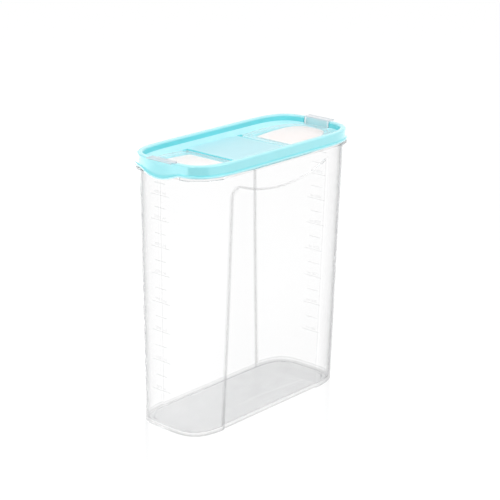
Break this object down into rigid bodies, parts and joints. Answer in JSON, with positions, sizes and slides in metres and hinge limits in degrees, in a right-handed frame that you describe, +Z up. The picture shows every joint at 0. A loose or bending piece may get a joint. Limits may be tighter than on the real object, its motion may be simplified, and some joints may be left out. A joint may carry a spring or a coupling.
{
  "type": "cereal container",
  "caption": "Tall clear container with rounded ends and sunken grip panels, a dished press-on lid, and a flip-up pour flap with a thumb tab at each end of the lid.",
  "frame": {"origin": "centre of the base, on the surface the container stands on", "axes": "+Z up, +X along the long side of the oval outline, towards the right flap, +Y across it, away from the front grip panel"},
  "size_m": [0.2416, 0.1056, 0.2701],
  "materials": {
    "clear_tub": "clear glossy polypropylene",
    "turquoise_lid": "satin moulded plastic",
    "frosted_flap": "milky translucent plastic"
  },
  "bodies": {
    "container_body": {"container_body": "clear_tub"},
    "lid": {"lid": "turquoise_lid"},
    "flap_left": {"flap_left": "frosted_flap"},
    "flap_right": {"flap_right": "frosted_flap"}
  },
  "joints": [
    {"name": "lid_lift", "type": "slide", "parent": "container_body", "child": "lid", "axis": [0, 0, 1], "range_m": [0, 0.03]},
    {"name": "flap_left_flip", "type": "hinge", "parent": "lid", "child": "flap_left", "pos_m": [-0.04, 0, 0.2573], "axis": [0, 1, 0], "range_deg": [0, 100]},
    {"name": "flap_right_flip", "type": "hinge", "parent": "lid", "child": "flap_right", "pos_m": [0.04, 0, 0.2573], "axis": [0, -1, 0], "range_deg": [0, 100]}
  ]
}
